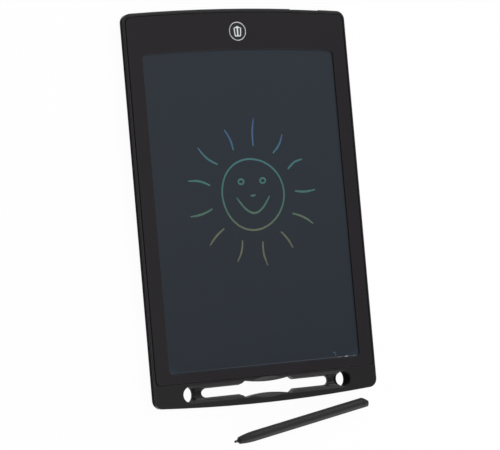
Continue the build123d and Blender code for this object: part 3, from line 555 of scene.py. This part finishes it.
def keyRing(look):
    clearPick()
    bpy.ops.mesh.primitive_circle_add(vertices=look["steps"], radius=look["outer"] * mm, fill_type="NGON",
                                      location=(look["x"] * mm, look["y"] * mm, look["low"] * mm))
    ring = bpy.context.object
    editAll()
    bpy.ops.mesh.inset(thickness=(look["outer"] - look["inner"]) * mm)
    bpy.ops.mesh.delete(type="FACE")
    bpy.ops.mesh.select_all(action="SELECT")
    raiseFaces((0, 0, look["high"] - look["low"]))
    leaveEdit()
    bevelEdges(ring, look["round"], look["roundSteps"])
    bpy.ops.object.shade_smooth_by_angle(angle=math.radians(look["smoothBelow"]))
    return ring


keyRingPiece = settle(keyRing(ringLook), "key_ring", "tablet", mouldedPlastic("ringWhite", whiteLook))
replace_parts(keyRingPiece, "erase_ring")
print("ring done")

# End cap of the stylus, cut off at a slant and rounded, drawn along the stylus from its tip
capLook = {"tip": (-23.44, -132.66, 3.0), "angle": 9.24, "radius": 3.0, "joint": 86.0, "end": 89.0,
           "slantAt": (86.5, 2.95), "slantTo": (90.05, -0.2), "steps": 64,
           "round": 1.15, "roundSteps": 4, "sharpFrom": 25, "jointClear": 0.1,
           "plugInset": 1.0, "plugLong": 4.0, "plugFacing": -0.9,
           "jointRound": 0.16, "jointRoundSteps": 2, "jointSharper": 50, "smoothBelow": 35}


# Keeps, of the picked edges, those past the joint
def pickPast(piece, line):
    bpy.ops.object.mode_set(mode="OBJECT")
    spots = [vertex.co for vertex in piece.data.vertices]
    for edge in piece.data.edges:
        edge.select = edge.select and max(spots[number].x for number in edge.vertices) > line * mm
    bpy.ops.object.mode_set(mode="EDIT")


def slantedCap(look):
    clearPick()
    long = look["end"] - look["joint"]
    middle = (look["joint"] + long / 2) * mm
    bpy.ops.mesh.primitive_cylinder_add(vertices=look["steps"], radius=look["radius"] * mm,
                                        depth=long * mm, rotation=(0, math.pi / 2, 0),
                                        location=(middle, 0, 0))
    cap = bpy.context.object
    bpy.ops.object.transform_apply(location=True, rotation=True, scale=True)
    bpy.ops.object.mode_set(mode="EDIT")
    bpy.ops.mesh.select_mode(type="EDGE")
    bpy.ops.mesh.select_all(action="SELECT")
    (fromX, fromY), (toX, toY) = look["slantAt"], look["slantTo"]
    bpy.ops.mesh.bisect(plane_co=(fromX * mm, fromY * mm, 0), plane_no=(fromY - toY, toX - fromX, 0),
                        use_fill=True, clear_outer=True)
    # round the far end
    bpy.ops.mesh.select_all(action="DESELECT")
    bpy.ops.mesh.edges_select_sharp(sharpness=math.radians(look["sharpFrom"]))
    pickPast(cap, look["joint"] + look["jointClear"])
    bpy.ops.mesh.bevel(offset=look["round"] * mm, segments=look["roundSteps"], affect="EDGES",
                       clamp_overlap=True)
    # plug that goes into the barrel
    bpy.ops.mesh.select_mode(type="FACE")
    bpy.ops.mesh.select_all(action="DESELECT")
    bpy.ops.object.mode_set(mode="OBJECT")
    for face in cap.data.polygons:
        face.select = face.normal.x < look["plugFacing"]
    bpy.ops.object.mode_set(mode="EDIT")
    bpy.ops.mesh.inset(thickness=look["plugInset"] * mm)
    raiseFaces((-look["plugLong"], 0, 0))
    leaveEdit()
    bevelEdges(cap, look["jointRound"], look["jointRoundSteps"], look["jointSharper"])
    bpy.ops.object.shade_smooth_by_angle(angle=math.radians(look["smoothBelow"]))
    cap.location = [part * mm for part in look["tip"]]
    cap.rotation_euler.z = math.radians(look["angle"])
    return cap


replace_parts(settle(slantedCap(capLook), "stylus_cap", "stylus", stylusPlastic),
            "stylus_end_cap")
print("stylus end done")

# Bin sign printed on the erase key
signLook = {"x": -0.1, "y": 99.4, "level": 5.72, "thick": 0.05,
            "canTop": 2.4, "canHigh": 1.9, "canFoot": 2.05, "canLow": -3.0, "wall": 0.62,
            "lidHalf": 2.9, "lidHigh": 2.3, "lidThick": 0.5, "handleHalf": 1.5, "handleHigh": 2.9,
            "handleShoulder": 0.75, "handleTop": 0.45, "barHalf": 0.42, "corner": 0.5}


# A flat plate through the given corners, counted from the sign's middle
def signPlate(look, corners):
    clearPick()
    bpy.ops.mesh.primitive_circle_add(vertices=len(corners), radius=mm, fill_type="NGON")
    plate = bpy.context.object
    for spot, (across, along) in zip(plate.data.vertices, corners):
        spot.co = ((look["x"] + across) * mm, (look["y"] + along) * mm, look["level"] * mm)
    editAll()
    raiseFaces((0, 0, look["thick"]))
    leaveEdit()
    return plate


def oblong(half, low, high):
    return [(-half, low), (half, low), (half, high), (-half, high)]


def binSign(look):
    top, foot, high, low, wall = (look[key] for key in ("canTop", "canFoot", "canHigh", "canLow", "wall"))
    corner, handle, lidHigh = look["corner"], look["handleHalf"], look["lidHigh"]
    outlines = []
    for side in (-1, 1):
        wallSide = [(top, high), (top - wall, high), (foot - wall, low + wall), (foot - wall, low),
                    (foot - corner, low), (foot, low + corner)]
        outlines.append([(side * across, along) for across, along in wallSide])
    outlines.append(oblong(foot - wall, low, low + wall))
    outlines.append(oblong(look["barHalf"], low + wall, high))
    lidSide = [(look["lidHalf"], lidHigh - look["lidThick"]), (look["lidHalf"], lidHigh - corner),
               (handle, lidHigh), (handle * look["handleShoulder"], look["handleHigh"] - corner),
               (handle * look["handleTop"], look["handleHigh"])]
    outlines.append(lidSide + [(-across, along) for across, along in reversed(lidSide)])
    return joined([signPlate(look, corners) for corners in outlines])


settle(binSign(signLook), "erase_sign", "erase_key", mouldedPlastic("signWhite", whiteLook))
print("sign done")

# Floor, light and camera. The room is brighter low down and to the right than overhead and to the left
studioLook = {
    "floorWide": 8.0, "floorLevel": -0.2 * mm, "whiteShare": 0.955, "paper": (0.86, 0.86, 0.86, 1),
    "roomWay": (-0.5, 0.12, 0.8), "room": ((0.0, 0.86), (0.3, 0.62), (0.47, 0.38), (0.72, 0.15)),
    # name, place, aim, width, height, watts
    "lamps": [
        ("backLamp", (0.68, 0.95, 0.7), (0, 0, 0), 1.1, 0.5, 10.0),
        ("frontLamp", (0.62, -1.05, 0.42), (0, -0.05, 0), 1.2, 0.6, 8.5),
        ("skyLamp", (0.0, 0.0, 1.7), (0, 0, 0), 1.0, 1.0, 9.5),
    ],
}
cameraLook = {"place": (-0.5779, -0.06185, 1.0836), "turn": (0.08751, -0.48434, -0.0989), "lens": 155.01,
              "sensor": 36, "farthest": 20}


def paperFloor(look):
    clearPick()
    bpy.ops.mesh.primitive_plane_add(size=look["floorWide"], location=(0, 0, look["floorLevel"]))
    floor = bpy.context.object
    floor.name = "floor"
    finish = Finish("floorPaper")
    ray = finish.node("ShaderNodeLightPath")    # camera 0, glossy 3, transmission 6
    seen = (ray[0] + ray[3] + ray[6]).clamped() * look["whiteShare"]
    paper = finish.node("ShaderNodeBsdfDiffuse", {}, {"Color": look["paper"]})[0]
    white = finish.node("ShaderNodeEmission", {}, {"Color": (1, 1, 1, 1), "Strength": 1.0})[0]
    floor.data.materials.append(finish.close(finish.mixShader(seen, paper, white)))


def roomLight(look):
    room = Finish("studio", "World")
    way = room.node("ShaderNodeTexCoord")[0]    # the way that a ray goes
    lean = room.node("ShaderNodeVectorMath", {"operation": "DOT_PRODUCT"},
                     {0: way, 1: look["roomWay"]})[1]
    level = room.ramp([(height, (share, share, share)) for height, share in look["room"]], lean)
    bpy.context.scene.world = room.close(room.node("ShaderNodeBackground", {}, {"Color": level})[0])
    for name, spot, aim, wide, tall, power in look["lamps"]:
        data = bpy.data.lights.new(name, "AREA")
        data.shape = "RECTANGLE"
        data.size = wide
        data.size_y = tall
        data.energy = power
        lamp = bpy.data.objects.new(name, data)
        bpy.context.scene.collection.objects.link(lamp)
        lamp.location = spot
        lamp.rotation_euler = (Vector(aim) - Vector(spot)).to_track_quat("-Z", "Y").to_euler()


def camera(look):
    data = bpy.data.cameras.new("camera")
    data.lens = look["lens"]
    data.sensor_width = look["sensor"]
    data.clip_end = look["farthest"]
    made = bpy.data.objects.new("camera", data)
    bpy.context.scene.collection.objects.link(made)
    made.location = look["place"]
    made.rotation_euler = Euler(look["turn"], "XYZ")
    bpy.context.scene.camera = made


paperFloor(studioLook)
roomLight(studioLook)
camera(cameraLook)
bpy.context.scene.view_settings.view_transform = "Standard"
print("studio done")
